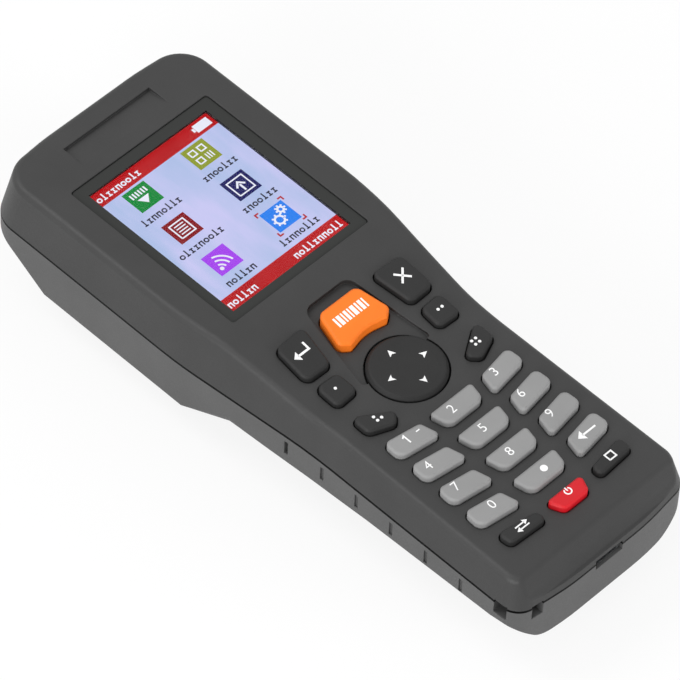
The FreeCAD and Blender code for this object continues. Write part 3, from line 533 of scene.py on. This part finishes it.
# ABS of the reader: smooth black with a clear sheen
dress(moulded("abs_engine_black", "#151515", "#1b1b1b", rough=0.45, shine=0.5, grain_mm=0.3,
              relief_mm=0.01, edge_mm=0.2), "scan_engine")
# Tinted acrylic: so deep a red that it looks almost black, under a polished face
dress(moulded("acrylic_red_filter", "#2a0608", "#300709", rough=0.08, shine=0.6, grain_mm=3.0,
              relief_mm=0.0, edge_mm=0.1), "scan_window")


# Numeric keys
# Light grey silicone rubber caps, pressed in a mould, each over its own hole in the keymat's web.
# White digits and signs are screen printed on their tops.
DIGIT_TALL = 2.4 * MM
# The font's size over the height of its digits
FONT_RATIO = 1.37
# Thins the digits' strokes, so that the openings in them stay open
DIGIT_THIN = -0.012 * MM
INK_THICK = 0.04 * MM
# The printed face lies within this depth of a key's highest one, and its normal rises by at least this
TOP_DEPTH = 2.2 * MM
TOP_LEVEL = 0.9
# Silicone: a soft satin sheen that spreads along rounded edges. Its grain is finer than 0.1 mm and is
# drawn at 0.3 mm, so that it shows
SILICONE = {"grain_mm": 0.3, "relief_mm": 0.012}
grey_rubber = moulded("silicone_light_grey", "#8d8d8d", "#949494", rough=0.62, shine=0.35, edge_mm=0.55,
                      **SILICONE)
# Screen printed ink: flat, clean white that stays bright from every side
white_ink = moulded("screen_ink_white", "#f2f2f2", "#fbfbfb", rough=0.6, shine=0.3, grain_mm=0.4,
                    relief_mm=0.004, edge_mm=0.02)


def cap_top(name):
    """Height of a key's ink at any place: the plane of the largest upward face near its top, plus the ink."""
    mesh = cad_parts[name].data
    count = len(mesh.polygons)
    areas, normals, centres = np.empty(count), np.empty(3 * count), np.empty(3 * count)
    mesh.polygons.foreach_get("area", areas)
    mesh.polygons.foreach_get("normal", normals)
    mesh.polygons.foreach_get("center", centres)
    normals, centres = normals.reshape(-1, 3), centres.reshape(-1, 3)
    high = centres[:, 2] > centres[:, 2].max() - TOP_DEPTH
    best = np.argmax(np.where(high & (normals[:, 2] > TOP_LEVEL), areas, 0))
    n, c = normals[best], centres[best]
    return lambda x, y: c[2] - (n[0] * (x - c[0]) + n[1] * (y - c[1])) / n[2] + INK_THICK


def key_middle(name, shift):
    """The middle of a key's box, moved across and along by a shift in millimetres."""
    low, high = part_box(name)
    return np.array([(low.x + high.x) / 2, (low.y + high.y) / 2]) + np.array(shift) * MM


def printed(name, outlines, shift=(0.0, 0.0)):
    """Prints outlines in millimetres from a key's middle on the key's top."""
    middle = key_middle(name, shift)
    points, faces = slab([np.asarray(o, float) * MM + middle for o in outlines], cap_top(name), INK_THICK)
    new_piece("print_" + name, points, faces, white_ink, name + "_body")


def printed_digit(name, digit, shift):
    """Prints a digit on a key: the font's mesh goes to its place, and its upper face to the ink's height."""
    curve = bpy.data.curves.new("digit", "FONT")
    curve.body = digit
    curve.size = DIGIT_TALL * FONT_RATIO
    curve.align_x, curve.align_y = "CENTER", "CENTER"
    curve.extrude = INK_THICK / 2
    curve.offset = DIGIT_THIN
    curve.resolution_u = 4
    text = bpy.data.objects.new("digit", curve)
    flat = bpy.data.meshes.new_from_object(text)
    spots = np.empty(3 * len(flat.vertices))
    flat.vertices.foreach_get("co", spots)
    spots = spots.reshape(-1, 3)
    spots[:, :2] += key_middle(name, shift)
    spots[:, 2] += cap_top(name)(spots[:, 0], spots[:, 1]) - INK_THICK / 2
    faces = [tuple(face.vertices) for face in flat.polygons]
    bpy.data.objects.remove(text)
    bpy.data.meshes.remove(flat)
    new_piece("print_" + name, spots, faces, white_ink, name + "_body")


DIGIT_PLACES = {"key_2": (-1.9, 0.1), "key_3": (-1.8, 0.4), "key_4": (-2.4, 0.6), "key_5": (-0.8, 0.2),
                "key_6": (-2.2, 0.6), "key_7": (-1.9, 0.9), "key_8": (-1.2, 0.0), "key_9": (-1.9, 0.7),
                "key_0": (0.5, 0.5)}
for name, shift in DIGIT_PLACES.items():
    dress(grey_rubber, name)
    printed_digit(name, name[-1], shift)
dress(grey_rubber, "key_1", "key_dot", "key_delete")
# The one is a plain stroke with a flag, and a short dash stands beside it
printed("key_1", [band([(-1.5, 1.2), (-0.85, 1.65), (-0.85, -0.6)], 0.34), bar(2.4, 0.6, 1.0, 0.3)])
printed("key_dot", [arc(0.8, 0.1, 0.85, 0, 350, 36)])
printed("key_delete", [band([(2.4, 0), (-1.6, 0)], 0.45),
                       np.array([(-1.2, 1.3), (-2.8, 0), (-1.2, -1.3)])])


# Black keys
# Black silicone rubber caps round the pad and in the bottom row, pressed and held as the grey ones are.
# Their white signs are arrows, a cross, one to four dots and a hollow square.
black_rubber = moulded("silicone_black", "#202020", "#252525", rough=0.6, shine=0.35, edge_mm=0.55,
                       **SILICONE)
dress(black_rubber, "enter_key", "escape_key", "f1_key", "f2_key", "f3_key", "f4_key", "switch_key",
      "shift_key")
SIGN_STROKE = 0.5
printed("enter_key", [band([(2.0, 1.7), (2.0, -0.3), (-1.2, -0.3)], SIGN_STROKE),
                      np.array([(-0.9, 0.9), (-2.3, -0.3), (-0.9, -1.5)])], (-0.4, 0.6))
printed("escape_key", [band([(-1.4, -1.4), (1.4, 1.4)], SIGN_STROKE),
                       band([(-1.4, 1.4), (1.4, -1.4)], SIGN_STROKE)], (0.4, 0.6))
DOT_PITCH = 1.2
DOT_RADIUS = 0.36
DOT_PLACES = {"f1_key": (-0.3, 0.3), "f2_key": (0.3, 0.3), "f3_key": (0.3, 0.2), "f4_key": (-0.2, 0.2)}
for number, (name, shift) in enumerate(DOT_PLACES.items(), start=1):
    across = np.arange(number) % 2 * DOT_PITCH - (DOT_PITCH / 2 if number > 1 else 0)
    along = np.arange(number) // 2 * DOT_PITCH - (DOT_PITCH / 2 if number > 2 else 0)
    printed(name, [arc(u, v, DOT_RADIUS, 0, 345, 20) for u, v in zip(across, along)], shift)
swap = [band([(-1.6, 0.5), (1.0, 0.5)], 0.32), np.array([(0.8, 1.2), (1.9, 0.5), (0.8, -0.2)])]
swap += [-outline for outline in swap]
printed("switch_key", swap)
printed("shift_key", [hollow(0, 0, 1.9, 1.7, 0.35)])


# Scan key
# Orange silicone rubber key, pressed as the others are, in its own trough in the face. A run of white
# bars of uneven width is printed on it.
dress(moulded("silicone_orange", "#f4741c", "#fa8026", rough=0.5, shine=0.35, edge_mm=0.7, **SILICONE),
      "scan_key")
RUN_START = -4.4
RUN_GAP = 0.4
RUN_TALL = 2.5
left, run = RUN_START, []
for wide in (0.5, 0.9, 0.4, 0.7, 0.4, 1.0, 0.5, 0.8, 0.4):
    run.append(bar(left + wide / 2, 0.0, wide, RUN_TALL))
    left += wide + RUN_GAP
printed("scan_key", run, (0.0, 0.7))


# Power key
# Small red silicone rubber key, pressed as the others are. A white ring, open at the top, and a stroke
# through its opening are printed on it.
dress(moulded("silicone_red", "#c8141f", "#d01a26", rough=0.5, shine=0.35, edge_mm=0.5, **SILICONE),
      "power_key")
printed("power_key", [band(arc(0.1, 0.8, 0.8, 125, 415, 40), 0.3), bar(0.1, 1.35, 0.3, 1.0)])


# Four-way pad
# Black silicone disc, dished in the middle, that rocks on a fulcrum. Four white notched arrowheads are
# printed on it, and they follow the dish.
dress(moulded("silicone_pad_black", "#212121", "#262626", rough=0.6, shine=0.3, edge_mm=0.5, **SILICONE),
      "nav_pad")
pad_low, pad_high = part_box("nav_pad")
PAD_X, PAD_Y = (pad_low.x + pad_high.x) / 2, (pad_low.y + pad_high.y) / 2
DISH_RADIUS = 6.8 * MM
DISH_DEPTH = 0.4 * MM
ARROW_AT = 4.95 * MM


def dish(x, y):
    """Height of the dished top: rises evenly from the middle to the rim of the dish."""
    radius = np.hypot(x - PAD_X, y - PAD_Y)
    return pad_high.z + INK_THICK - DISH_DEPTH * (1 - np.minimum(radius / DISH_RADIUS, 1.0))


arrow = np.array([(0.95, 0.0), (-0.75, 0.85), (-0.35, 0.0), (-0.75, -0.85)]) * MM
heads = []
for angle in np.radians((0, 90, 180, 270)):
    turn = np.array([(math.cos(angle), math.sin(angle)), (-math.sin(angle), math.cos(angle))])
    heads.append((arrow + (ARROW_AT, 0)) @ turn + (PAD_X, PAD_Y))
points, faces = slab(heads, dish, INK_THICK)
new_piece("print_nav_pad", points, faces, white_ink, "nav")
